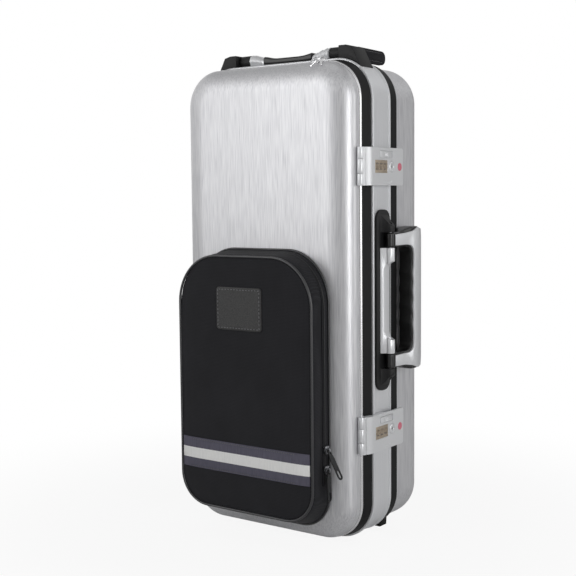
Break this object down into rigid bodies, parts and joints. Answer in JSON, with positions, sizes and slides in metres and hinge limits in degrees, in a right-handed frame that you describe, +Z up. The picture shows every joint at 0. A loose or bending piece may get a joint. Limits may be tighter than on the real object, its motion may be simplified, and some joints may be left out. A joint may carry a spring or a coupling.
{
  "type": "trumpet case",
  "caption": "Upright hard case for a trumpet with a hinged lid, combination latches, a folding side handle, a sliding top handle and a zipped front pocket.",
  "frame": {"origin": "middle of the metal frame's lower face, with the case standing on its end as in the picture", "axes": "+Z up along the case's length, -Y out of the lid and its pocket, +X towards the latches and the side handle"},
  "size_m": [0.2787, 0.2086, 0.5783],
  "materials": {
    "brushed_shell": "silver film, brushed along the case's length",
    "satin_frame": "satin anodised extrusion",
    "bright_strip": "polished extrusion",
    "black_band": "satin black edge band",
    "plush": "foam faced with dark plush",
    "seal_rubber": "soft black seal",
    "foot_rubber": "moulded black rubber",
    "cast_metal": "satin silver lacquer on a zinc casting",
    "steel": "nickel-plated steel",
    "dial_metal": "dull plated brass",
    "black_plastic": "fine-grained moulded nylon",
    "bright_plastic": "silver-plated moulding",
    "grip_rubber": "matte soft grip",
    "bag_cloth": "coated woven nylon",
    "patch_leather": "dark grey artificial leather",
    "tape_cloth": "reflective webbing",
    "zip_plastic": "coil zip tape"
  },
  "bodies": {
    "base": {"base_frame": "satin_frame", "rear_shell": "brushed_shell", "rear_band": "black_band", "base_liner": "plush", "seal": "seal_rubber", "end_foot_left": "foot_rubber", "end_foot_right": "foot_rubber", "side_foot_lower": "foot_rubber", "side_foot_upper": "foot_rubber", "lower_hinge_base_leaf": "cast_metal", "upper_hinge_base_leaf": "cast_metal", "lower_hinge_pin": "steel", "upper_hinge_pin": "steel", "lower_latch_keeper": "steel", "upper_latch_keeper": "steel", "side_handle_plate": "black_plastic", "side_handle_saddle": "cast_metal", "side_handle_pin_lower": "steel", "side_handle_pin_upper": "steel", "top_handle_bracket_left": "black_plastic", "top_handle_bracket_right": "black_plastic", "strap_end": "bag_cloth"},
    "lid": {"front_shell": "brushed_shell", "lid_frame": "bright_strip", "lid_band": "black_band", "lid_liner": "plush", "lower_hinge_lid_leaf": "cast_metal", "upper_hinge_lid_leaf": "cast_metal", "lower_latch_hinge": "cast_metal", "upper_latch_hinge": "cast_metal", "lower_latch_pin": "steel", "upper_latch_pin": "steel", "pocket_bag": "bag_cloth", "pocket_patch": "patch_leather", "pocket_tape": "tape_cloth", "pocket_zip_track": "zip_plastic"},
    "lower_latch": {"lower_latch_cover": "cast_metal"},
    "lower_dial_1": {"lower_latch_dial_1": "dial_metal"},
    "lower_dial_2": {"lower_latch_dial_2": "dial_metal"},
    "lower_dial_3": {"lower_latch_dial_3": "dial_metal"},
    "lower_key_plug": {"lower_latch_key_plug": "steel"},
    "lower_slider": {"lower_latch_slider": "cast_metal"},
    "upper_latch": {"upper_latch_cover": "cast_metal"},
    "upper_dial_1": {"upper_latch_dial_1": "dial_metal"},
    "upper_dial_2": {"upper_latch_dial_2": "dial_metal"},
    "upper_dial_3": {"upper_latch_dial_3": "dial_metal"},
    "upper_key_plug": {"upper_latch_key_plug": "steel"},
    "upper_slider": {"upper_latch_slider": "cast_metal"},
    "side_handle": {"side_handle_core": "grip_rubber", "side_handle_facing": "cast_metal"},
    "top_handle": {"top_handle_barrel_left": "black_plastic", "top_handle_barrel_right": "black_plastic", "top_handle_cap_left": "bright_plastic", "top_handle_cap_right": "bright_plastic", "top_handle_grip": "grip_rubber"},
    "lower_zip_slider": {"zip_slider_lower": "steel"},
    "lower_zip_pull": {"zip_pull_lower": "steel"},
    "upper_zip_slider": {"zip_slider_upper": "steel"},
    "upper_zip_pull": {"zip_pull_upper": "steel"}
  },
  "joints": [
    {"name": "lid_hinge", "type": "hinge", "parent": "base", "child": "lid", "pos_m": [-0.1298, -0.0195, 0.28], "axis": [0, 0, -1], "range_deg": [0, 105]},
    {"name": "lower_latch_swing", "type": "hinge", "parent": "lid", "child": "lower_latch", "pos_m": [0.125, -0.0439, 0.13], "axis": [0, 0, -1], "range_deg": [0, 95]},
    {"name": "lower_dial_1_turn", "type": "hinge", "parent": "lower_latch", "child": "lower_dial_1", "pos_m": [0.13, -0.0209, 0.13], "axis": [0, 1, 0], "continuous": true},
    {"name": "lower_dial_2_turn", "type": "hinge", "parent": "lower_latch", "child": "lower_dial_2", "pos_m": [0.13, -0.0123, 0.13], "axis": [0, 1, 0], "continuous": true},
    {"name": "lower_dial_3_turn", "type": "hinge", "parent": "lower_latch", "child": "lower_dial_3", "pos_m": [0.13, -0.0037, 0.13], "axis": [0, 1, 0], "continuous": true},
    {"name": "lower_key_turn", "type": "hinge", "parent": "lower_latch", "child": "lower_key_plug", "pos_m": [0.133, 0.0104, 0.13], "axis": [-1, 0, 0], "range_deg": [0, 90]},
    {"name": "lower_release_slide", "type": "slide", "parent": "lower_latch", "child": "lower_slider", "axis": [0, 1, 0], "range_m": [0, 0.0025]},
    {"name": "upper_latch_swing", "type": "hinge", "parent": "lid", "child": "upper_latch", "pos_m": [0.125, -0.0439, 0.436], "axis": [0, 0, -1], "range_deg": [0, 95]},
    {"name": "upper_dial_1_turn", "type": "hinge", "parent": "upper_latch", "child": "upper_dial_1", "pos_m": [0.13, -0.0209, 0.436], "axis": [0, 1, 0], "continuous": true},
    {"name": "upper_dial_2_turn", "type": "hinge", "parent": "upper_latch", "child": "upper_dial_2", "pos_m": [0.13, -0.0123, 0.436], "axis": [0, 1, 0], "continuous": true},
    {"name": "upper_dial_3_turn", "type": "hinge", "parent": "upper_latch", "child": "upper_dial_3", "pos_m": [0.13, -0.0037, 0.436], "axis": [0, 1, 0], "continuous": true},
    {"name": "upper_key_turn", "type": "hinge", "parent": "upper_latch", "child": "upper_key_plug", "pos_m": [0.133, 0.0104, 0.436], "axis": [-1, 0, 0], "range_deg": [0, 90]},
    {"name": "upper_release_slide", "type": "slide", "parent": "upper_latch", "child": "upper_slider", "axis": [0, 1, 0], "range_m": [0, 0.0025]},
    {"name": "side_handle_swing", "type": "hinge", "parent": "base", "child": "side_handle", "pos_m": [0.137, 0, 0.282], "axis": [0, 0, 1], "range_deg": [-180, 1.5]},
    {"name": "top_handle_lift", "type": "slide", "parent": "base", "child": "top_handle", "axis": [0, 0, 1], "range_m": [0, 0.007]},
    {"name": "lower_zip_slide", "type": "slide", "parent": "lid", "child": "lower_zip_slider", "axis": [0, 0, 1], "range_m": [-0.018, 0]},
    {"name": "lower_pull_swing", "type": "hinge", "parent": "lower_zip_slider", "child": "lower_zip_pull", "pos_m": [0.10227, -0.078, 0.094], "axis": [0, -1, 0], "range_deg": [0, 45]},
    {"name": "upper_zip_slide", "type": "slide", "parent": "lid", "child": "upper_zip_slider", "axis": [0, 0, 1], "range_m": [0, 0.15]},
    {"name": "upper_pull_swing", "type": "hinge", "parent": "upper_zip_slider", "child": "upper_zip_pull", "pos_m": [0.10227, -0.078, 0.117], "axis": [0, -1, 0], "range_deg": [-20, 80]}
  ]
}
